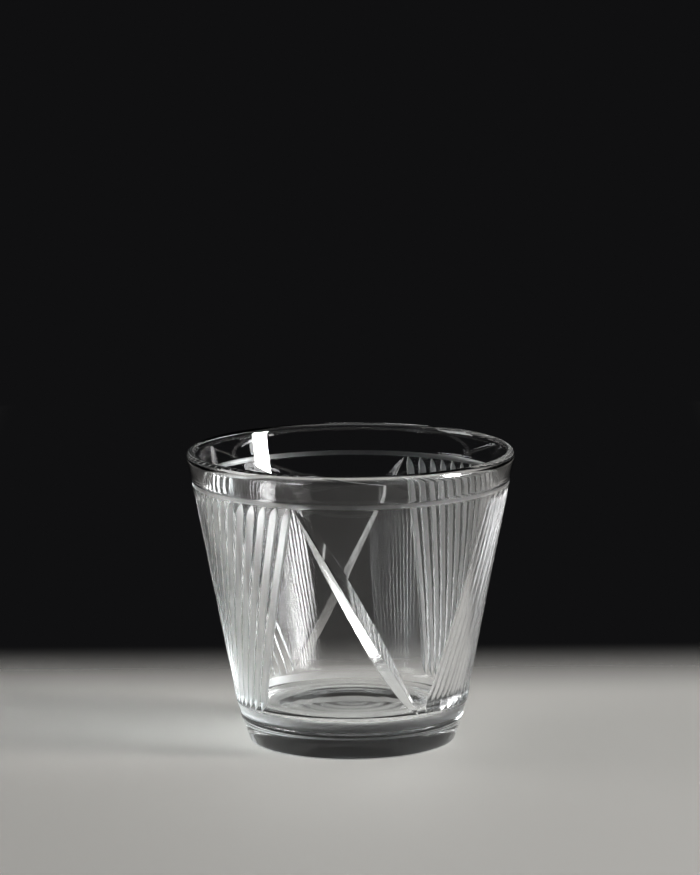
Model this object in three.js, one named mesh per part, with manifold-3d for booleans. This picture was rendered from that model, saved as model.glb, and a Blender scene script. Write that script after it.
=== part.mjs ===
// A short whisky tumbler of clear glass with a wheel-cut wall.
// Millimetres, +Z up, standing on z = 0. The clear panel that faces the viewer looks towards -Y.
// The glass is one piece. It is modelled as its three zones, foot, bowl and rim,
// which meet on flat planes.

import * as THREE from "three";
import { mergeVertices } from "three/addons/utils/BufferGeometryUtils.js";
import Module from "manifold-3d";

const wasm = await Module();
wasm.setup();

// Overall sizes, with angles in degrees
const height = 81;
const rimDiameter = 90;
const wallTaper = 10.84;

// Rim: a rounded lip over a plain band, with a shallow line turned between the band and the cut wall
const lipThickness = 2.6;
const lipHeight = 2;
const bandHeight = 7.5;
const lineHeight = 1.9;
const lineDepth = 0.3;
const wallInset = 0.15;

// Inside of the bowl: it tapers more than the outside, so the wall thickens downwards
const innerTaper = 11.9;
const floorHeight = 10.3;
const floorCornerRadius = 5;

// Foot: a thick disc with a rounded collar round its top, under a hollow neck
const footHeight = 7.75;
const footTaper = 18;
const footInset = 0.35;
const collarHeight = 1.85;
const collarReach = 0.7;
const collarBend = 0.6;
const heelRadius = 1.2;
const contactRingWidth = 5;
const dishDepth = 1.2;
const neckHeight = 3.85;
const neckDepth = 0.5;
const neckBend = 1.55;

// Flutes: two panels of V cuts that lean to the left as they run down, cut by hand at slightly different leans
const fluteCount = 20;
const flutePitch = 5;
const firstFluteAngle = -22.25;
const leftPanelLean = 28;
const rightPanelLean = 24;
const ridgeOverlap = 0.2;
const fluteTopRun = 4;
const fluteBottomRun = 4.5;

// Mitres: one long diagonal V cut across each clear panel
const mitreGap = 1;
const mitreTurn = 55.75;
const mitreDepth = 1.95;
const mitreTopRun = 34;
const mitreBottomRun = 30;

// What all the cuts share: the wheel's edge and the plain strip past their tips
const cutAngle = 110;
const cutTopMargin = 0.15;
const cutBottomMargin = 0.4;
const cutterReach = 3;

// Fineness of the facets
const turnSteps = 72;
const arcSteps = 4;
const fluteSteps = { run: 3, middle: 4 };
const mitreSteps = { run: 7, middle: 2 };

// Slopes: the radius gained for each millimetre of height
const wallSlope = Math.tan(THREE.MathUtils.degToRad(wallTaper));
const innerSlope = Math.tan(THREE.MathUtils.degToRad(innerTaper));
const footSlope = Math.tan(THREE.MathUtils.degToRad(footTaper));

// How far a cut deepens for each millimetre from its edge towards its middle
const cutSteepness = 1 / Math.tan(THREE.MathUtils.degToRad(cutAngle / 2));

// The lip is half an ellipse, and the band and the inner wall leave it where they touch it
const lipHalf = lipThickness / 2;
const lipRadius = rimDiameter / 2 - lipHalf;
const lipLevel = height - lipHeight;
const lipStart = -Math.atan((lipHeight / lipHalf) * wallSlope);
const lipEnd = Math.PI - Math.atan((lipHeight / lipHalf) * innerSlope);
const bandLevel = height - bandHeight;
const lineLevel = bandLevel - lineHeight;
const lineMiddle = bandLevel - lineHeight / 2;
const neckLevel = footHeight + neckHeight;

function bandRadius(z) {
  const touchRadius = lipRadius + lipHalf * Math.cos(lipStart);
  const touchLevel = lipLevel + lipHeight * Math.sin(lipStart);
  return touchRadius + (z - touchLevel) * wallSlope;
}

function wallRadius(z) {
  return bandRadius(z) - wallInset;
}

function innerRadius(z) {
  const touchRadius = lipRadius + lipHalf * Math.cos(lipEnd);
  const touchLevel = lipLevel + lipHeight * Math.sin(lipEnd);
  return touchRadius + (z - touchLevel) * innerSlope;
}

const footRadius = wallRadius(footHeight) - footInset;

// Solids from closed meshes, and back
function toSolid(geometry) {
  const bare = geometry.clone();
  bare.deleteAttribute("normal");
  bare.deleteAttribute("uv");
  const merged = mergeVertices(bare);
  const triangles = [];
  for (let i = 0; i < merged.index.count; i += 3) {
    const corners = [0, 1, 2].map((step) => merged.index.getX(i + step));
    if (new Set(corners).size === corners.length) {
      triangles.push(...corners);
    }
  }
  const mesh = new wasm.Mesh({
    numProp: 3,
    vertProperties: Float32Array.from(merged.attributes.position.array),
    triVerts: Uint32Array.from(triangles),
  });
  return new wasm.Manifold(mesh);
}

function toGeometry(solid) {
  const mesh = solid.getMesh();
  const geometry = new THREE.BufferGeometry();
  geometry.setAttribute("position", new THREE.BufferAttribute(mesh.vertProperties, mesh.numProp));
  geometry.setIndex(new THREE.BufferAttribute(mesh.triVerts, 1));
  geometry.computeVertexNormals();
  return geometry;
}

// A profile of radius and height, turned about the upright axis
function turned(profile) {
  const lathe = new THREE.LatheGeometry(profile.getPoints(arcSteps), turnSteps);
  lathe.rotateX(Math.PI / 2);
  return toSolid(lathe);
}

// Foot: dished underside, flat contact ring, rounded heel, flaring side and collar
function footSolid() {
  const taper = THREE.MathUtils.degToRad(footTaper);
  const collarLevel = footHeight - collarHeight;
  const sideRadius = footRadius - collarReach;
  const heelTop = heelRadius * (1 - Math.sin(taper));
  const heelCentre = sideRadius - (collarLevel - heelTop) * footSlope - heelRadius * Math.cos(taper);
  const dishRadius = heelCentre - contactRingWidth;
  const profile = new THREE.Path();
  profile.moveTo(0, dishDepth);
  profile.quadraticCurveTo(dishRadius / 2, dishDepth, dishRadius, 0);
  profile.lineTo(heelCentre, 0);
  profile.absarc(heelCentre, heelRadius, heelRadius, -Math.PI / 2, -taper, false);
  profile.lineTo(sideRadius, collarLevel);
  profile.quadraticCurveTo(footRadius, collarLevel + collarBend, footRadius, footHeight);
  profile.lineTo(0, footHeight);
  return turned(profile);
}

// Bowl before it is cut: neck, flaring wall, inner wall, rounded corner and floor
function plainBowlSolid() {
  const taper = THREE.MathUtils.degToRad(innerTaper);
  const cornerTop = floorHeight + floorCornerRadius * (1 - Math.sin(taper));
  const cornerCentre = innerRadius(cornerTop) - floorCornerRadius * Math.cos(taper);
  const cornerLevel = floorHeight + floorCornerRadius;
  const profile = new THREE.Path();
  profile.moveTo(0, footHeight);
  profile.lineTo(footRadius, footHeight);
  profile.quadraticCurveTo(
    footRadius - neckDepth,
    footHeight + neckBend,
    wallRadius(neckLevel),
    neckLevel,
  );
  profile.lineTo(wallRadius(lineLevel), lineLevel);
  profile.lineTo(innerRadius(lineLevel), lineLevel);
  profile.absarc(cornerCentre, cornerLevel, floorCornerRadius, -taper, -Math.PI / 2, true);
  profile.lineTo(0, floorHeight);
  return turned(profile);
}

// Rim: turned line, plain band and lip
function rimSolid() {
  const profile = new THREE.Path();
  profile.moveTo(innerRadius(lineLevel), lineLevel);
  profile.lineTo(wallRadius(lineLevel), lineLevel);
  profile.lineTo(bandRadius(lineMiddle) - lineDepth, lineMiddle);
  profile.lineTo(bandRadius(bandLevel), bandLevel);
  profile.absellipse(lipRadius, lipLevel, lipHalf, lipHeight, lipStart, Math.PI / 2, false);
  profile.absellipse(lipRadius, lipLevel, lipHalf, lipHeight, Math.PI / 2, lipEnd, false);
  profile.lineTo(innerRadius(lineLevel), lineLevel);
  return turned(profile);
}

// A point of the uncut wall, with its angle counted from the front, and the outward direction there
function wallPoint(angle, z) {
  const turn = THREE.MathUtils.degToRad(angle);
  const radius = wallRadius(z);
  return new THREE.Vector3(radius * Math.sin(turn), -radius * Math.cos(turn), z);
}

function wallNormal(point) {
  const normal = new THREE.Vector3(point.x, point.y, 0).normalize();
  normal.z = -wallSlope;
  return normal.normalize();
}

// A cutting wheel works in one flat plane. That plane holds both ends of the cut, and it stands square
// to the wall at the middle of the cut.
function wheelPlane(topAngle, turn) {
  const start = wallPoint(topAngle, lineLevel - cutTopMargin);
  const end = wallPoint(topAngle + turn, neckLevel + cutBottomMargin);
  const middle = wallPoint(topAngle + turn / 2, (start.z + end.z) / 2);
  const chord = end.clone().sub(start);
  const across = new THREE.Vector3().crossVectors(chord, wallNormal(middle)).normalize();
  const outward = new THREE.Vector3().crossVectors(across, chord).normalize();
  return { start, chord, across, outward };
}

// The point of the wall that lies straight out from a point of the chord
function pathPoint(plane, share) {
  const { outward } = plane;
  const base = plane.start.clone().addScaledVector(plane.chord, share);
  const radius = wallRadius(base.z);
  const rise = wallSlope * outward.z;
  const a = outward.x ** 2 + outward.y ** 2 - rise ** 2;
  const b = base.x * outward.x + base.y * outward.y - rise * radius;
  const c = base.x ** 2 + base.y ** 2 - radius ** 2;
  const reach = (-b + Math.sqrt(b * b - a * c)) / a;
  return base.addScaledVector(outward, reach);
}

// Shares of the chord at which the cut gets a section: close together where the wheel enters and leaves
function sectionShares(length, topRun, bottomRun, steps) {
  const enter = topRun / length;
  const leave = 1 - bottomRun / length;
  const shares = [];
  for (let i = 0; i < steps.run; i += 1) {
    shares.push((enter * i) / steps.run);
  }
  for (let i = 0; i < steps.middle; i += 1) {
    shares.push(enter + ((leave - enter) * i) / steps.middle);
  }
  for (let i = 0; i <= steps.run; i += 1) {
    shares.push(leave + ((1 - leave) * i) / steps.run);
  }
  return shares;
}

// How much of its full depth a cut has: the round wheel gives each end a pointed arch
function runShare(distance, run) {
  const left = Math.max(0, 1 - distance / run);
  return 1 - left * left;
}

// The solid that a wheel clears away: V sections along the cut, joined into a closed skin
function cutter(plane, topRun, bottomRun, steps, fullDepth) {
  const length = plane.chord.length();
  const positions = [];
  const shares = sectionShares(length, topRun, bottomRun, steps);
  for (const share of shares) {
    const point = pathPoint(plane, share);
    const run = runShare(share * length, topRun) * runShare((1 - share) * length, bottomRun);
    const depth = fullDepth(plane, point) * run;
    const halfWidth = (depth + cutterReach) / cutSteepness;
    const valley = point.clone().addScaledVector(plane.outward, -depth);
    const crest = point.clone().addScaledVector(plane.outward, cutterReach);
    const left = crest.clone().addScaledVector(plane.across, -halfWidth);
    const right = crest.clone().addScaledVector(plane.across, halfWidth);
    positions.push(...valley.toArray(), ...right.toArray(), ...left.toArray());
  }
  const triangles = [0, 1, 2];
  for (let section = 0; section < shares.length - 1; section += 1) {
    for (let side = 0; side < 3; side += 1) {
      const a = 3 * section + side;
      const b = 3 * section + ((side + 1) % 3);
      triangles.push(a, a + 3, b, b, a + 3, b + 3);
    }
  }
  const last = 3 * (shares.length - 1);
  triangles.push(last + 2, last + 1, last);
  const geometry = new THREE.BufferGeometry();
  geometry.setAttribute("position", new THREE.Float32BufferAttribute(positions, 3));
  geometry.setIndex(triangles);
  return toSolid(geometry);
}

// A flute is just deep enough to overlap the next one, so that they meet in a sharp ridge
function fluteDepth(plane, point) {
  const upright = new THREE.Vector3(0, 0, 1);
  const next = point.clone().applyAxisAngle(upright, THREE.MathUtils.degToRad(flutePitch));
  const width = Math.abs(next.sub(point).dot(plane.across)) + ridgeOverlap;
  const normal = wallNormal(point);
  const tilt = normal.dot(plane.across) / normal.dot(plane.outward);
  return (width * (cutSteepness ** 2 - tilt ** 2)) / (2 * cutSteepness);
}

function cutBowlSolid() {
  const leans = [leftPanelLean, rightPanelLean];
  let solid = plainBowlSolid();
  for (let panel = 0; panel < leans.length; panel += 1) {
    const panelAngle = firstFluteAngle + (360 / leans.length) * panel;
    for (let flute = 0; flute < fluteCount; flute += 1) {
      const plane = wheelPlane(panelAngle - flutePitch * flute, -leans[panel]);
      solid = solid.subtract(cutter(plane, fluteTopRun, fluteBottomRun, fluteSteps, fluteDepth));
    }
    const plane = wheelPlane(panelAngle + mitreGap, mitreTurn);
    solid = solid.subtract(cutter(plane, mitreTopRun, mitreBottomRun, mitreSteps, () => mitreDepth));
  }
  return solid;
}

// The three zones of the glass
function glassMesh(name, solid) {
  const material = new THREE.MeshStandardMaterial({
    name: "clear_glass",
    color: 0xdfe8ea,
    roughness: 0.03,
    metalness: 0,
    transparent: true,
    opacity: 0.35,
  });
  const mesh = new THREE.Mesh(toGeometry(solid), material);
  mesh.name = name;
  return mesh;
}

const tumbler = new THREE.Group();
tumbler.add(glassMesh("foot", footSolid()));
tumbler.add(glassMesh("bowl", cutBowlSolid()));
tumbler.add(glassMesh("rim", rimSolid()));

export default tumbler;
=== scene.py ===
# %% [markdown]
# # A wheel-cut whisky glass
#
# The object is a short flaring tumbler of clear glass. It stands on a thick foot with a collar, and a
# plain rounded rim runs round its top. Two panels of slanting V flutes are cut into its wall, and each of
# the two clear panels between them is crossed by one long diagonal mitre.
#
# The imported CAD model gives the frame: the sizes and the place of each zone. The real glass is a single
# piece, so this lesson builds one continuous skin that stands for all three zones. Separate solids that
# only touch would show a false seam wherever light crosses from one to the next.

# %% Load the frame
import math

import bmesh
import bpy
import numpy as np
from mathutils import Matrix, Vector


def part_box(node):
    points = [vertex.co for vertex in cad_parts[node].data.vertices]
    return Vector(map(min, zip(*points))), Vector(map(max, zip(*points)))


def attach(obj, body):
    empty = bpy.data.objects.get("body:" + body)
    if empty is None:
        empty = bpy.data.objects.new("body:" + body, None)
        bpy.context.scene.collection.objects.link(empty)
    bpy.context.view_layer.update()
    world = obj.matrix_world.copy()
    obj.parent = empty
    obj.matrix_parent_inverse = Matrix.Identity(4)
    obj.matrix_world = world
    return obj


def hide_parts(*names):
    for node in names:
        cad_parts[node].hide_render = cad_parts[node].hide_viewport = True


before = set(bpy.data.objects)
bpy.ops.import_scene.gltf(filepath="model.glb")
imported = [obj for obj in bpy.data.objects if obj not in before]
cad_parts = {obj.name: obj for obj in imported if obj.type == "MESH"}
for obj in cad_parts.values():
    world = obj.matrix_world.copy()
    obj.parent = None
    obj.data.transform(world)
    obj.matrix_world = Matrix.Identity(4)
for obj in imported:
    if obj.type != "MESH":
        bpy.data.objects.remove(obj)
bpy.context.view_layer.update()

# %% [markdown]
# ## Sizes
#
# The frame gives the sizes that other things depend on: the height, the lip's radius, and the levels
# where the zones meet. All other sizes are written in millimetres, in the cell that first needs them.
# A glass maker thinks in a turned profile, so each is a radius, a level, or a taper in degrees.

# %% Sizes from the frame
MM = 0.001
foot_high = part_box("foot")[1] / MM
bowl_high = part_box("bowl")[1] / MM
rim_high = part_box("rim")[1] / MM

height = rim_high.z
rim_radius = rim_high.x
line_level = bowl_high.z
foot_height = foot_high.z
foot_radius = foot_high.x
print(f"height {height:.2f} mm, lip {2 * rim_radius:.2f} mm and foot {2 * foot_radius:.2f} mm across")

# %% [markdown]
# ## The plain turned surfaces
#
# Before it is cut, the glass is a turned form. The lip is half an ellipse, and the outer band and the
# inner wall leave it where they touch it. A Screw modifier could turn a drawn outline, but the cuts need
# to know how far out the wall lies. So three short functions give the radius of the band, of the wall that
# is cut, and of the inside at any level.

# %% Radius at any level
lip_thickness = 2.6
lip_height = 2.0
wall_inset = 0.15
wall_slope = math.tan(math.radians(10.84))
inner_slope = math.tan(math.radians(11.9))
lip_half = lip_thickness / 2
lip_radius = rim_radius - lip_half
lip_level = height - lip_height
lip_start = -math.atan(lip_height / lip_half * wall_slope)
lip_end = math.pi - math.atan(lip_height / lip_half * inner_slope)


def band_radius(z):
    touch_radius = lip_radius + lip_half * math.cos(lip_start)
    touch_level = lip_level + lip_height * math.sin(lip_start)
    return touch_radius + (z - touch_level) * wall_slope


def wall_radius(z):
    return band_radius(z) - wall_inset


def inner_radius(z):
    touch_radius = lip_radius + lip_half * math.cos(lip_end)
    touch_level = lip_level + lip_height * math.sin(lip_end)
    return touch_radius + (z - touch_level) * inner_slope


wall_thickness = wall_radius(line_level) - inner_radius(line_level)
print(f"wall {wall_thickness:.2f} mm thick under the line")

# %% [markdown]
# ## The cutter's wheel
#
# A wheel works in one flat plane, and its edge is a V. So each cut is found from the plane that holds its
# two ends and stands square to the wall at its middle. Its bottom line, the valley, follows the wall in
# that plane at the cut's depth, and its two edges are where the slopes of the V come out of the wall
# again. A Boolean cut could make the same shape, but it would leave long thin triangles, which glass shows
# at once. Working out the three lines lets the mesh run along them.

# %% The plane of one cut
neck_height = 3.85
neck_level = foot_height + neck_height
cut_margin = 0.4
cut_top = line_level + cut_margin
cut_bottom = neck_level + cut_margin


def around(angle, radius, level):
    """A point, or a row of points, at an angle round the glass in degrees: 0 faces the viewer."""
    turn = np.radians(angle)
    return np.stack([radius * np.sin(turn), -radius * np.cos(turn), level + 0 * turn], -1)


def wheel_plane(turn):
    """Start, chord, sideways and outward directions of a cut that turns by an angle on its way down."""
    middle_level = (cut_top + cut_bottom) / 2
    start = around(0.0, wall_radius(cut_top), cut_top)
    middle = around(turn / 2, wall_radius(middle_level), middle_level)
    end = around(turn, wall_radius(cut_bottom), cut_bottom)
    chord = end - start
    normal = np.array([middle[0], middle[1], -wall_slope * np.hypot(middle[0], middle[1])])
    across = np.cross(chord, normal)
    across /= np.linalg.norm(across)
    outward = np.cross(across, chord)
    return start, chord, across, outward / np.linalg.norm(outward)


print(f"cuts run from level {cut_top:.2f} mm down to {cut_bottom:.2f} mm")

# %% Where a direction meets the wall
def reach_wall(points, direction):
    """The wall points that lie from the given points along a direction."""
    # The wall is a cone, so the distance to it is a root of a quadratic equation.
    radius = wall_radius(points[:, 2])
    rise = wall_slope * direction[2]
    square = direction[0] ** 2 + direction[1] ** 2 - rise ** 2
    half = points[:, 0] * direction[0] + points[:, 1] * direction[1] - rise * radius
    rest = points[:, 0] ** 2 + points[:, 1] ** 2 - radius ** 2
    distance = (-half + np.sqrt(np.maximum(half * half - square * rest, 0))) / square
    return points + distance[:, None] * direction


def angle_of(points):
    return np.degrees(np.arctan2(points[:, 0], -points[:, 1]))


sideways = reach_wall(np.array([[0.0, 0.0, cut_top]]), np.array([1.0, 0.0, 0.0]))
print(f"from the axis, sideways is {angle_of(sideways)[0]:.0f} degrees round the glass")

# %% The lines of one cut
cut_angle = 110.0
cut_steepness = 1 / math.tan(math.radians(cut_angle / 2))
line_samples = 400


def run_share(distance, run):
    """How much of its full depth a cut has at a distance from its end."""
    left = np.maximum(0, 1 - distance / run)
    return 1 - left * left


def cut_lines(turn, runs, depths):
    """Angles of the edges and the valley, and the valley's depth, against level from bottom to top.

    Runs are the lengths over which the cut deepens from its top and its bottom end, and depths are
    its full depths there.
    """
    start, chord, across, outward = wheel_plane(turn)
    shares = np.linspace(0, 1, line_samples)
    path = reach_wall(start + shares[:, None] * chord, outward)
    length = np.linalg.norm(chord)
    run = run_share(shares * length, runs[0]) * run_share((1 - shares) * length, runs[1])
    depth = np.interp(path[:, 2], (neck_level, line_level), depths[::-1]) * run
    valley = path - depth[:, None] * outward
    edges = [reach_wall(valley, side * across + cut_steepness * outward) for side in (1, -1)]
    left, right = sorted(edges, key=lambda edge: angle_of(edge).mean())
    gap = wall_radius(valley[:, 2]) - np.hypot(valley[:, 0], valley[:, 1])
    lines = {name: (line[::-1, 2], angle_of(line)[::-1])
             for name, line in (("left", left), ("valley", valley), ("right", right))}
    lines["gap"] = (valley[::-1, 2], np.maximum(gap[::-1], 0))
    return lines


print(f"a cut is {2 / cut_steepness:.2f} times as wide as it is deep")

# %% [markdown]
# ## Flutes and mitres
#
# The flutes lie 5 degrees apart and lean round the glass on their way down. They were cut by hand, and one
# panel leans a little more than the other. A V cut is as wide as its depth makes it, and these are a
# little shallower at the top, where the wall is wider round. So a thin strip of uncut wall, a land, is
# left between them there, and it closes towards the bottom. The mitre is a single deeper cut with long
# pointed ends. Both come from the same function, because the same kind of wheel made them.

# %% One flute and one mitre
panel_leans = (28.0, 24.0)
flute_runs = (4.0, 4.5)
flute_depths = (0.8, 0.97)
mitre_turn = 55.75
mitre_runs = (34.0, 30.0)
mitre_depths = (1.95, 1.95)

flutes = [cut_lines(-lean, flute_runs, flute_depths) for lean in panel_leans]
mitre = cut_lines(mitre_turn, mitre_runs, mitre_depths)
print(f"flutes {flutes[0]['gap'][1].max():.2f} mm deep, mitre {mitre['gap'][1].max():.2f} mm deep")

# %% [markdown]
# ## The cut wall as a grid
#
# The wall becomes a grid of rows and columns. An even grid with its points pushed in would break the
# slanting cuts into steps, so the columns run along the edges and valleys of the cuts. Rows are levels,
# closer together near both ends, where the cuts start and stop. Each edge has a second column just inside
# it, so that smooth shading rounds the edge over a tenth of a millimetre, as polishing does, and leaves the
# face of the cut flat. Where two cuts overlap, both end at the ridge between them.

# %% Rows of the wall
row_count = 84
end_crowding = 0.8
row_share = np.linspace(0, 1, row_count)
row_share = row_share - end_crowding * np.sin(2 * np.pi * row_share) / (2 * np.pi)
levels = neck_level + (line_level - neck_level) * row_share
row_gaps = np.diff(levels)
print(f"rows {row_gaps.min():.2f} mm apart at the ends and {row_gaps.max():.2f} mm in the middle")

# %% One cut on the rows
# A cut this many degrees wide follows the cutter's hand fully. The least width avoids a division by zero.
full_flute = 4.0
least_width = 1e-6


def groove(lines, angle, wander=(0.0, 0.0), size=1.0):
    """Angles of a cut's edges and valley, and how far below the wall they lie, at each level."""
    left, valley, right, depth = (
        np.interp(levels, *lines[name]) for name in ("left", "valley", "right", "gap"))
    left = valley + (left - valley) * size
    right = valley + (right - valley) * size
    width = right - left
    valley_share = np.where(width > least_width, (valley - left) / np.maximum(width, least_width), 0.5)
    # The edges wander with the cutter's hand, but the two ends of a cut, where it is narrow, don't spread.
    spread = (wander[1] - wander[0]) * np.minimum(width / full_flute, 1)
    shift = angle + (wander[0] + wander[1]) / 2
    return {
        "left": left + shift - spread / 2, "left_gap": 0 * depth,
        "valley": valley + shift + (valley_share - 0.5) * spread, "depth": depth * size,
        "right": right + shift + spread / 2, "right_gap": 0 * depth,
    }


one_flute = groove(flutes[0], 0.0)
print(f"a flute is up to {np.max(one_flute['right'] - one_flute['left']):.2f} degrees wide")

# %% Ridges between neighbours
flute_pitch = 5.0
least_slope = 1e-9


def meet(before, after):
    """Where two neighbouring cuts overlap, both end at the ridge in which their faces meet."""
    overlap = before["right"] > after["left"]
    fall = before["depth"] / np.maximum(before["right"] - before["valley"], least_width)
    rise = after["depth"] / np.maximum(after["valley"] - after["left"], least_width)
    ridge = (fall * before["right"] + rise * after["left"]) / np.maximum(fall + rise, least_slope)
    gap = fall * (before["right"] - ridge)
    before["right_gap"] = np.where(overlap, gap, before["right_gap"])
    after["left_gap"] = np.where(overlap, gap, after["left_gap"])
    before["right"] = np.where(overlap, ridge, before["right"])
    after["left"] = np.where(overlap, ridge, after["left"])


next_flute = groove(flutes[0], flute_pitch)
meet(one_flute, next_flute)
print(f"two such flutes meet on {np.count_nonzero(one_flute['right_gap'])} of {row_count} rows")

# %% Columns of a cut and of uncut wall
# The second column lies this many millimetres inside an edge, but at most this share of a narrow face.
edge_round = 0.12
most_hold = 0.3


def wall_column(angle, gap=0.0):
    """One point per row, at the wall or as far below it as the gap says."""
    return around(angle, wall_radius(levels) - gap, levels)


def groove_columns(cut):
    """Seven columns of a cut, from its left edge over its valley to its right edge."""
    low = wall_column(cut["valley"], cut["depth"])
    columns = []
    for name in ("left", "right"):
        edge = wall_column(cut[name], cut[name + "_gap"])
        face = np.linalg.norm(low - edge, axis=1)[:, None]
        hold = np.minimum(edge_round / np.maximum(face, least_width), most_hold)
        side = [edge, edge + (low - edge) * hold, low + (edge - low) * hold]
        columns += side + [low] if name == "left" else side[::-1]
    return columns


def plain_columns(first_angle, last_angle, count, gap):
    """Columns of uncut wall between two lines, the first and the last close to them."""
    width = np.radians(last_angle - first_angle) * wall_radius(levels)
    hold = np.minimum(edge_round / np.maximum(width, least_width), most_hold)
    shares = [hold + (1 - 2 * hold) * number / (count - 1) for number in range(count)]
    return [wall_column(first_angle + (last_angle - first_angle) * share, gap) for share in shares]


print(f"{len(groove_columns(one_flute))} columns to a cut")

# %% [markdown]
# ## The two panels
#
# A panel starts beside its mitre with narrow flutes and lands between them. Further along, the flutes are
# cut up to one and a half times as wide, and meet in sharp ridges over most of their length. An Array
# modifier could repeat one flute, but this wheel was guided by hand. So each flute is made in turn, and
# its edges wander a little from an even pitch, by a seeded random amount.
#
# Each column also carries two numbers for the finish. One says how satin the surface is: the flutes beside
# the mitre are polished least, those further along and the mitre better, and the lands are lightly rubbed.
# The other says where across its cut the column lies, because the wheel's marks run along the cut.

# %% Cuts of a panel
# Angles are in degrees. Counted from the mitre, flutes widen from number 8 to number 12.
flute_count = 20
first_flute = -22.25
mitre_gap = 1.0
hand_wander = 0.3
widening = (8, 12)
widest_flute = 1.5
random = np.random.default_rng(20)


def panel_cuts(turn, flute):
    """The flutes of one panel and the mitre after it, in order of growing angle."""
    wanders = random.uniform(-hand_wander, hand_wander, flute_count + 1)
    wanders[[0, -1]] = 0.0
    cuts = []
    for number in range(flute_count - 1, -1, -1):
        angle = first_flute + turn - flute_pitch * number
        size = np.interp(number, widening, (1.0, widest_flute))
        cuts.append(groove(flute, angle, (wanders[number + 1], wanders[number]), size))
    for before, after in zip(cuts, cuts[1:]):
        meet(before, after)
    return cuts + [groove(mitre, first_flute + mitre_gap + turn)]


left_cuts = panel_cuts(0.0, flutes[0])
right_cuts = panel_cuts(180.0, flutes[1])
print(f"panels of {len(left_cuts)} and {len(right_cuts)} cuts")

# %% Columns of a panel
# The places of a cut's seven columns are millimetres across it, and each cut has marks of its own.
land_columns = 3
clear_columns = 38
land_satin = 0.3
mitre_satin = 0.27
cut_spacing = 10.0
groove_places = (0.0, 0.1, 1.2, 1.3, 1.4, 2.5, 2.6)


def panel_columns(cuts, next_left, flute_satins):
    """Columns of a panel's cuts and of the wall after each, with their satin and their place across."""
    ends = [cut["left"] for cut in cuts[1:]] + [next_left]
    columns, satin_columns, mark_columns = [], [], []
    for index, (cut, end) in enumerate(zip(cuts, ends)):
        has_land = index < flute_count - 1
        count = land_columns if has_land else clear_columns
        columns += groove_columns(cut)
        columns += plain_columns(cut["right"], end, count, cut["right_gap"] * has_land)
        satin, edge = mitre_satin, 0.0
        if index < flute_count:
            satin = np.interp(flute_count - 1 - index, widening, flute_satins)
            edge = land_satin
        inner_count = len(groove_places) - 2
        satin_columns += [edge] + [satin] * inner_count + [edge] + [edge * has_land] * count
        mark_columns += [index * cut_spacing + place for place in groove_places] + [0] * count
    return columns, satin_columns, mark_columns


print(f"{flute_count - 1} lands of {land_columns} columns in a panel")

# %% All columns of the wall
# Satin of the narrow flutes and of the widest ones.
left_satins = (1.0, 0.35)
right_satins = (1.0, 0.6)
halves = [
    panel_columns(left_cuts, right_cuts[0]["left"], left_satins),
    panel_columns(right_cuts, left_cuts[0]["left"] + 360, right_satins),
]
wall_columns = np.array(halves[0][0] + halves[1][0])
wall_satin = np.array(halves[0][1] + halves[1][1])
wall_marks = np.array(halves[0][2] + halves[1][2])
print(f"wall of {wall_columns.shape[0]} columns and {wall_columns.shape[1]} rows")

# %% [markdown]
# ## The turned parts
#
# Everything below and above the cut wall is turned: the hollow underside, the foot with its collar and
# neck, then the line, the band, the lip, the inside and its floor. Each profile could be a drawn curve,
# but as a list of corners every size in it stays a number. Each corner has a length over which it is
# rounded, because hot glass has no sharp corners, and curves are short runs of points. The inner floor has
# faint rings, which the glass keeps from chilling in the mould.

# %% Profiles with rounded corners
round_steps = 5
most_round = 0.49


def arc(centre, radii, start, end, steps):
    turns = np.linspace(start, end, steps)
    return [(centre[0] + radii[0] * math.cos(t), centre[1] + radii[1] * math.sin(t), 0.0) for t in turns]


def profile(corners):
    """Points of a chain of corners (radius, level, rounding), each rounded by a quadratic curve."""
    corners = [np.array(corner, float) for corner in corners]
    chain = [corners[0][:2]]
    for before, corner, after in zip(corners, corners[1:], corners[2:]):
        here, rounding = corner[:2], corner[2]
        if rounding == 0:
            chain.append(here)
            continue
        back, ahead = before[:2] - here, after[:2] - here
        start = here + back * min(rounding / np.linalg.norm(back), most_round)
        end = here + ahead * min(rounding / np.linalg.norm(ahead), most_round)
        for t in np.linspace(0, 1, round_steps):
            chain.append((1 - t) ** 2 * start + 2 * t * (1 - t) * here + t * t * end)
    chain.append(corners[-1][:2])
    return np.array(chain)


def filled(chain, longest):
    """The same chain with long straight runs divided."""
    result = [chain[0]]
    for start, end in zip(chain, chain[1:]):
        parts = max(1, math.ceil(np.linalg.norm(end - start) / longest))
        result += [start + (end - start) * (i + 1) / parts for i in range(parts)]
    return np.array(result)


print(f"each rounded corner has {round_steps} points")

# %% The foot and the neck
collar_drop = 1.85
collar_overhang = 0.7
collar_height = 1.1
foot_slope = math.tan(math.radians(18.0))
ring_width = 5.8
dish_depth = 1.2
dish_rings = 8
dish_end = 0.9
neck_drop = 1.3
neck_depth = 0.42
neck_end = neck_level - 0.3
foot_run = 3.0

# The hollow underneath is a shallow bowl, which stops short of the ring that the glass stands on.
collar_level = foot_height - collar_drop
side_radius = foot_radius - collar_overhang
heel_radius = side_radius - collar_level * foot_slope
dish_radius = heel_radius - ring_width
dish = [(dish_radius * t, dish_depth * (1 - t * t), 0.0) for t in np.linspace(0, dish_end, dish_rings)]
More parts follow.
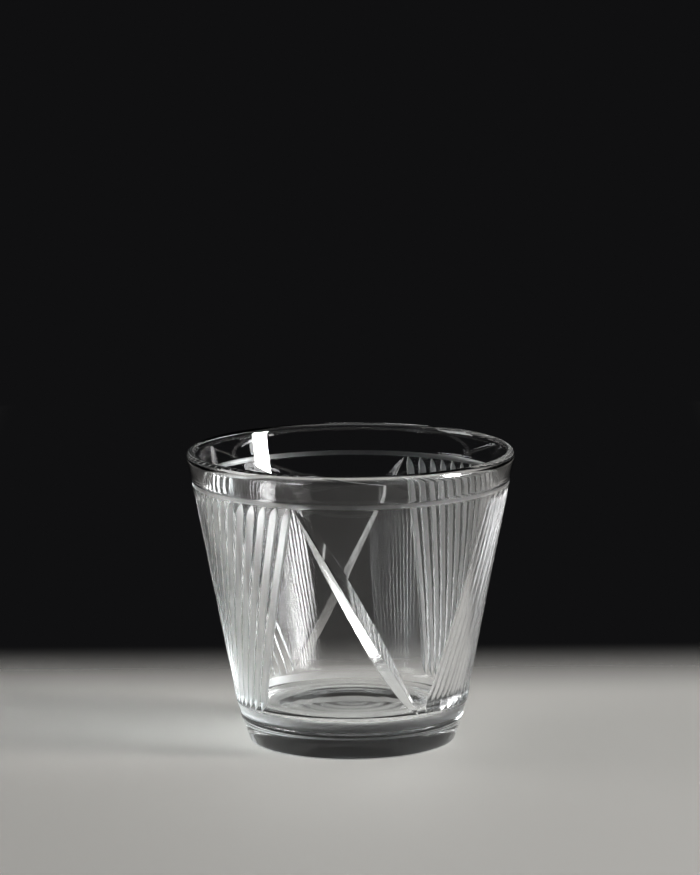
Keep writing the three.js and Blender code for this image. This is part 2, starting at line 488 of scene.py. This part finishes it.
# Each corner is its radius, its level and the length over which it is rounded.
foot_outline = filled(profile(dish + [
    (dish_radius, 0.0, 1.2),
    (heel_radius, 0.0, 0.9),
    (side_radius, collar_level, 0.6),
    (foot_radius, collar_level + collar_height, 0.9),
    (foot_radius - 0.1, foot_height + 0.8, 0.9),
    (wall_radius(neck_level) - neck_depth, neck_level - neck_drop, 0.7),
    (wall_radius(neck_end) - 0.02, neck_end, 0.0),
]), foot_run)
print(f"foot and neck of {len(foot_outline)} rings, standing on a ring {2 * heel_radius:.1f} mm across")

# %% The inner floor
floor_height = 10.3
floor_corner = 5.0
corner_steps = 11
ripple_width = 4.2
ripple_height = 0.07
ripple_step = 0.7

inner_tilt = math.atan(inner_slope)
corner_top = floor_height + floor_corner * (1 - math.sin(inner_tilt))
corner_centre = inner_radius(corner_top) - floor_corner * math.cos(inner_tilt)
inner_floor = arc((corner_centre, floor_height + floor_corner), (floor_corner, floor_corner),
                  -inner_tilt, -math.pi / 2, corner_steps)
for radius in np.arange(corner_centre - ripple_step, 0.0, -ripple_step):
    ripple = ripple_height * radius / corner_centre * math.sin(2 * math.pi * radius / ripple_width)
    inner_floor.append((radius, floor_height + ripple, 0.0))
inner_floor.append((0.0, floor_height, 0.0))
print(f"inner floor {2 * corner_centre:.1f} mm across, ripples {2 * ripple_height:.2f} mm high at its edge")

# %% The rim and the inside
line_top = height - 7.5
line_depth = 0.3
line_start = line_level + 0.25
lip_steps = 25
rim_run = 4.0

line_middle = (line_level + line_top) / 2
lip = arc((lip_radius, lip_level), (lip_half, lip_height), lip_start, lip_end, lip_steps)
rim_outline = filled(profile([
    (wall_radius(line_start) - 0.05, line_start, 0.0),
    (band_radius(line_middle) - line_depth, line_middle, 0.5),
    (band_radius(line_top), line_top, 0.3),
] + lip + inner_floor), rim_run)
print(f"rim and inside of {len(rim_outline)} rings")

# %% [markdown]
# ## One skin
#
# The turned parts and the wall are joined into one closed skin, because glass would show every inner face.
# The turned rings have evenly spaced points, and the rows of the wall have theirs on the cuts. Two rings
# that don't match are joined by a zip: it walks round both at once and always steps along the one that
# lags behind. Points that fall together, at the tips of the cuts and on the axis, are merged. The neck
# and the line under the rim were ground too, so their rings are satin.

# %% Rings
ring_columns = 360
turned_satin = 1.0
ring_angles = np.arange(ring_columns) * 360 / ring_columns
points, faces, satin_values, mark_values = [], [], [], []


def add_ring(ring, satin, marks):
    first = len(points)
    points.extend(ring)
    satin_values.extend(satin)
    mark_values.extend(marks)
    return list(range(first, first + len(ring)))


def turned_rings(outline, satin_low, satin_high, satin_outside):
    """Rings of a profile, satin between two levels where they lie outside a radius."""
    rings = []
    for radius, z in outline:
        satin = turned_satin * (satin_low < z < satin_high and radius > satin_outside)
        rings.append(add_ring(around(ring_angles, radius, z), [satin] * ring_columns, [0.0] * ring_columns))
    return rings


neck_satin_low = foot_height + 0.4
line_satin_high = line_top - 0.5
line_satin_outside = inner_radius(line_top) + 1
foot_rings = turned_rings(foot_outline, neck_satin_low, neck_level, 0.0)
wall_rows = [add_ring(wall_columns[:, row], wall_satin, wall_marks) for row in range(row_count)]
rim_rings = turned_rings(rim_outline, line_level, line_satin_high, line_satin_outside)
print(f"{len(foot_rings)} rings below the wall's {len(wall_rows)} rows, {len(rim_rings)} above and inside")

# %% Join the rings
def join_alike(rings):
    for low, high in zip(rings, rings[1:]):
        for i in range(len(low)):
            j = (i + 1) % len(low)
            faces.append((low[i], low[j], high[j], high[i]))


def zip_rings(low, high):
    """Triangles between two rings that have different points, walking round by angle."""
    low_angle = angle_of(np.array([points[i] for i in low]))
    high_angle = angle_of(np.array([points[i] for i in high]))
    low_angle = low_angle[0] + np.maximum.accumulate((low_angle - low_angle[0]) % 360)
    high_angle = low_angle[0] + (high_angle - low_angle[0]) % 360
    order = np.argsort(high_angle, kind="stable")
    high = [high[i] for i in order]
    low_angle = np.append(low_angle, low_angle[0] + 360)
    high_angle = np.append(high_angle[order], high_angle[order[0]] + 360)
    i = j = 0
    while i < len(low) or j < len(high):
        low_next = (i + 1) % len(low)
        high_next = (j + 1) % len(high)
        if j == len(high) or (i < len(low) and low_angle[i + 1] <= high_angle[j + 1]):
            faces.append((low[i % len(low)], low[low_next], high[j % len(high)]))
            i += 1
        else:
            faces.append((low[i % len(low)], high[high_next], high[j % len(high)]))
            j += 1


for rings in (foot_rings, wall_rows, rim_rings):
    join_alike(rings)
zip_rings(foot_rings[-1], wall_rows[0])
zip_rings(wall_rows[-1], rim_rings[0])
print(f"{len(points)} points and {len(faces)} faces before merging")

# %% The glass as a mesh
merge_distance = 1e-6
cubic_mm_per_ml = 1000
glass_mesh = bpy.data.meshes.new("whisky_glass")
glass_mesh.from_pydata([tuple(point) for point in np.array(points) * MM], [], faces)
for name, values in (("satin", satin_values), ("wheel_mark", mark_values)):
    attribute = glass_mesh.attributes.new(name, "FLOAT", "POINT")
    attribute.data.foreach_set("value", np.array(values, np.float32))
skin = bmesh.new()
skin.from_mesh(glass_mesh)
bmesh.ops.remove_doubles(skin, verts=skin.verts, dist=merge_distance)
bmesh.ops.dissolve_degenerate(skin, edges=skin.edges, dist=merge_distance)
open_edges = sum(1 for edge in skin.edges if len(edge.link_faces) != 2)
volume = skin.calc_volume(signed=True) / MM ** 3 / cubic_mm_per_ml
for face in skin.faces:
    face.smooth = True
skin.to_mesh(glass_mesh)
skin.free()
glass_mesh.calc_loop_triangles()
glass = bpy.data.objects.new("whisky_glass", glass_mesh)
bpy.context.scene.collection.objects.link(glass)
print(f"{len(glass_mesh.loop_triangles)} triangles, {open_edges} open edges, {volume:.1f} ml of glass")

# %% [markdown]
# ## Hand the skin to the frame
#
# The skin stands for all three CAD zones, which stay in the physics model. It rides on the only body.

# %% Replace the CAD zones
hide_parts("foot", "bowl", "rim")
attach(glass, "root")

# %% [markdown]
# ## Nodes and colours
#
# Colours are written as sRGB hex values, as in a paint program, and one function turns them into the
# linear values that the renderer works in. One more small function adds a node with its settings and links.

# %% Helpers for materials
def linear(hex_colour):
    channels = [int(hex_colour[i:i + 2], 16) / 255 for i in (1, 3, 5)]
    return tuple(c / 12.92 if c <= 0.04045 else ((c + 0.055) / 1.055) ** 2.4 for c in channels) + (1.0,)


def add_node(tree, kind, inputs=None, **settings):
    node = tree.nodes.new(kind)
    for name, value in settings.items():
        setattr(node, name, value)
    for socket, value in (inputs or {}).items():
        if isinstance(value, bpy.types.NodeSocket):
            tree.links.new(value, node.inputs[socket])
        else:
            node.inputs[socket].default_value = value
    return node


def new_material(name):
    material = bpy.data.materials.new(name)
    material.use_nodes = True
    material.node_tree.nodes.clear()
    return material, material.node_tree


print(f"the grey #808080 is {linear('#808080')[0]:.3f} in linear light")

# %% [markdown]
# ## Pressed soda-lime glass
#
# The glass is soda-lime glass, pressed, fire polished and then cut on a wheel. Its plain surfaces are as
# smooth as liquid, with a faint waviness from the mould. The cuts are only half polished, and the wheel has
# left marks along them, so they scatter light and look whiter than the clear wall. Its colour only shows
# where light passes through a lot of glass, so it is an absorption in the volume and not a colour on the
# surface.
#
# Both the waves and the marks are far too flat to model as geometry, so they are bump. A path tracer finds
# little of the light that glass bends on to a floor, so to shadow rays the glass is nearly clear. That
# gives it the pale soft shadow of a real glass.

# %% Waves of the fire-polished surface
glass_material, glass_tree = new_material("pressed_soda_lime_glass")
glass_place = add_node(glass_tree, "ShaderNodeTexCoord").outputs["Object"]
# Fire polish leaves slow waves about as wide as a thumb, which bend the highlights a little.
wave_size = 14.0
wave_height = 0.03
wave = add_node(glass_tree, "ShaderNodeTexNoise", {
    "Vector": glass_place, "Scale": 1 / (wave_size * MM), "Detail": 1.0})
waves = add_node(glass_tree, "ShaderNodeBump", {
    "Height": wave.outputs["Fac"], "Strength": 1.0, "Distance": wave_height * MM})
print(f"waves {wave_size} mm wide and {wave_height} mm high")

# %% Marks of the wheel
# The grit of a real wheel leaves marks of about 0.05 mm, too fine to show, so they are drawn coarser.
mark_width = 0.45
mark_length = 14.0
mark_height = 0.04
satin = add_node(glass_tree, "ShaderNodeAttribute", attribute_name="satin").outputs["Fac"]
across = add_node(glass_tree, "ShaderNodeAttribute", attribute_name="wheel_mark").outputs["Fac"]
along = add_node(glass_tree, "ShaderNodeSeparateXYZ", {0: glass_place}).outputs["Z"]
marks_across = add_node(glass_tree, "ShaderNodeMath", {
    0: across, 1: 1 / mark_width}, operation="MULTIPLY")
marks_along = add_node(glass_tree, "ShaderNodeMath", {
    0: along, 1: 1 / (mark_length * MM)}, operation="MULTIPLY")
mark_place = add_node(glass_tree, "ShaderNodeCombineXYZ", {
    "X": marks_across.outputs["Value"], "Y": marks_along.outputs["Value"]})
mark = add_node(glass_tree, "ShaderNodeTexNoise", {
    "Vector": mark_place.outputs["Vector"], "Scale": 1.0, "Detail": 2.0})
cut_mark = add_node(glass_tree, "ShaderNodeMath", {
    0: mark.outputs["Fac"], 1: satin}, operation="MULTIPLY")
marks = add_node(glass_tree, "ShaderNodeBump", {
    "Height": cut_mark.outputs["Value"], "Strength": 1.0, "Distance": mark_height * MM,
    "Normal": waves.outputs["Normal"]})
print(f"wheel marks {mark_width} mm wide and {mark_length} mm long")

# %% Glass material
# Clear glass gives the eye thin bright edges and dark bands. Half-polished glass is typically 0.2 to 0.4
# rough, and spreads each highlight over the whole face of a cut.
glass_ior = 1.52
satin_roughness = 0.3
absorption = 5.0
roughness = add_node(glass_tree, "ShaderNodeMath", {
    0: satin, 1: satin_roughness}, operation="MULTIPLY")
surface = add_node(glass_tree, "ShaderNodeBsdfPrincipled", {
    "Base Color": linear("#fdfdfd"), "Roughness": roughness.outputs["Value"], "IOR": glass_ior,
    "Transmission Weight": 1.0, "Normal": marks.outputs["Normal"]})
ray = add_node(glass_tree, "ShaderNodeLightPath")
nearly_clear = add_node(glass_tree, "ShaderNodeBsdfTransparent", {"Color": linear("#d9dbdb")})
shade = add_node(glass_tree, "ShaderNodeMixShader", {
    0: ray.outputs["Is Shadow Ray"], 1: surface.outputs["BSDF"], 2: nearly_clear.outputs["BSDF"]})
tint = add_node(glass_tree, "ShaderNodeVolumeAbsorption", {
    "Color": linear("#d2dce2"), "Density": absorption})
add_node(glass_tree, "ShaderNodeOutputMaterial", {
    "Surface": shade.outputs["Shader"], "Volume": tint.outputs["Volume"]})
glass_mesh.materials.append(glass_material)
print(f"{glass_material.name} with an IOR of {glass_ior}")

# %% [markdown]
# ## Stage
#
# The glass stands on a plain pale floor in a dark room. Clear glass has no look of its own: it shows what
# is around it. The floor shows through the lower wall, and the dark behind the rim draws the rim's bright
# lines. So the floor fades away far from the glass and straight behind it, where a pale floor would fill
# the clear panels with grey.

# %% Floor
floor_radius = 0.62
floor_sides = 128
floor_drop = 0.02 * MM
floor_mesh = bpy.data.meshes.new("floor")
disc = bmesh.new()
bmesh.ops.create_circle(disc, cap_ends=True, radius=floor_radius, segments=floor_sides)
disc.to_mesh(floor_mesh)
disc.free()
floor = bpy.data.objects.new("floor", floor_mesh)
floor.location.z = -floor_drop
bpy.context.scene.collection.objects.link(floor)
print(f"floor {2 * floor_radius:.2f} m across")

# %% Where the floor fades
# Each fade is a soft step between two distances in metres.
floor_material, floor_tree = new_material("pale_matt_board")
floor_place = add_node(floor_tree, "ShaderNodeTexCoord").outputs["Object"]
floor_axes = add_node(floor_tree, "ShaderNodeSeparateXYZ", {0: floor_place}).outputs
aside = add_node(floor_tree, "ShaderNodeMath", {0: floor_axes["X"]}, operation="ABSOLUTE")
away = add_node(floor_tree, "ShaderNodeVectorMath", {0: floor_place}, operation="LENGTH")
fades = {}
for name, value, start, end in (
        ("behind", floor_axes["Y"], 0.05, 0.125),
        ("in_line", aside.outputs["Value"], 0.26, 0.13),
        ("far", away.outputs["Value"], 0.42, 0.6)):
    step = add_node(floor_tree, "ShaderNodeMapRange", {
        "Value": value, "From Min": start, "From Max": end}, interpolation_type="SMOOTHSTEP")
    fades[name] = step.outputs["Result"]
straight_behind = add_node(floor_tree, "ShaderNodeMath", {
    0: fades["behind"], 1: fades["in_line"]}, operation="MULTIPLY")
fade = add_node(floor_tree, "ShaderNodeMath", {
    0: straight_behind.outputs["Value"], 1: fades["far"]}, operation="MAXIMUM")
print("floor fades", list(fades))

# %% Floor material
# Matt painted board gives the eye an even tone and no mirror image.
board_roughness = 0.7
board = add_node(floor_tree, "ShaderNodeBsdfPrincipled", {
    "Base Color": linear("#a9a7a3"), "Roughness": board_roughness})
nothing = add_node(floor_tree, "ShaderNodeBsdfTransparent")
faded = add_node(floor_tree, "ShaderNodeMixShader", {
    0: fade.outputs["Value"], 1: board.outputs["BSDF"], 2: nothing.outputs["BSDF"]})
add_node(floor_tree, "ShaderNodeOutputMaterial", {"Surface": faded.outputs["Shader"]})
floor_mesh.materials.append(floor_material)
print(f"{floor_material.name} with a roughness of {board_roughness}")

# %% Room
room = bpy.data.worlds.new("dark_room")
room.use_nodes = True
room.node_tree.nodes.clear()
dark = add_node(room.node_tree, "ShaderNodeBackground", {"Color": linear("#101011"), "Strength": 1.0})
add_node(room.node_tree, "ShaderNodeOutputWorld", {"Surface": dark.outputs["Background"]})
bpy.context.scene.world = room
print("room", room.name)

# %% [markdown]
# ## Light
#
# Glass is lit by bright shapes beside it rather than by a lamp in front. A tall bright strip stands at the
# right, with a low wide light at its foot like a sill, and a larger, weaker window stands at the left.
# The cuts and the rim pick them up as white lines. A soft light overhead lights the floor. The camera
# doesn't see the lamps themselves, but the glass does.

# %% Softboxes
def softbox(name, azimuth, distance, level, width, tall, radiance):
    """A soft lamp at an angle round the glass (0 is the viewer's side), aimed at the glass."""
    lamp = bpy.data.lights.new(name, "AREA")
    lamp.shape = "RECTANGLE"
    lamp.size = width
    lamp.size_y = tall
    lamp.energy = radiance * math.pi * width * tall
    box = bpy.data.objects.new(name, lamp)
    turn = math.radians(azimuth)
    box.location = (distance * math.sin(turn), -distance * math.cos(turn), level)
    aim = Vector((0, 0, height * MM / 2)) - box.location
    box.rotation_euler = aim.to_track_quat("-Z", "Y").to_euler()
    box.visible_camera = False
    bpy.context.scene.collection.objects.link(box)


softbox("left_window", azimuth=-95, distance=1.1, level=0.65, width=0.6, tall=0.5, radiance=6.0)
softbox("right_strip", azimuth=75, distance=1.2, level=0.30, width=0.29, tall=0.6, radiance=70.0)
softbox("right_sill", azimuth=75, distance=1.2, level=0.085, width=0.7, tall=0.16, radiance=12.0)
softbox("overhead", azimuth=0, distance=0.01, level=1.3, width=1.0, tall=1.0, radiance=0.9)

# %% [markdown]
# ## Camera
#
# The camera was fitted to the outlines of the lip, the line under the rim and the foot. It has a long
# lens, looks down by about ten degrees, and has a slight roll.

# %% Camera
image_long_side = 875
focal_pixels = 5000.0
camera_distance = 1371.0
camera_elevation = math.radians(9.57)
camera_aim = Vector((-0.15, 0.0, 84.1))
camera_roll = math.radians(-0.37)
look = Vector((0, math.cos(camera_elevation), -math.sin(camera_elevation)))
right = Vector((1, 0, 0))
up = right.cross(look)
rolled_right = math.cos(camera_roll) * right + math.sin(camera_roll) * up
rolled_up = math.cos(camera_roll) * up - math.sin(camera_roll) * right
eye = (camera_aim - camera_distance * look) * MM

camera_data = bpy.data.cameras.new("camera")
camera_data.sensor_width = 36.0
camera_data.lens = focal_pixels * camera_data.sensor_width / image_long_side
camera = bpy.data.objects.new("camera", camera_data)
camera_axes = Matrix((rolled_right, rolled_up, -look)).transposed()
camera.matrix_world = Matrix.Translation(eye) @ camera_axes.to_4x4()
bpy.context.scene.collection.objects.link(camera)
bpy.context.scene.camera = camera
bpy.context.scene.view_settings.view_transform = "Standard"
print(f"lens {camera_data.lens:.1f} mm at {eye.length:.2f} m")
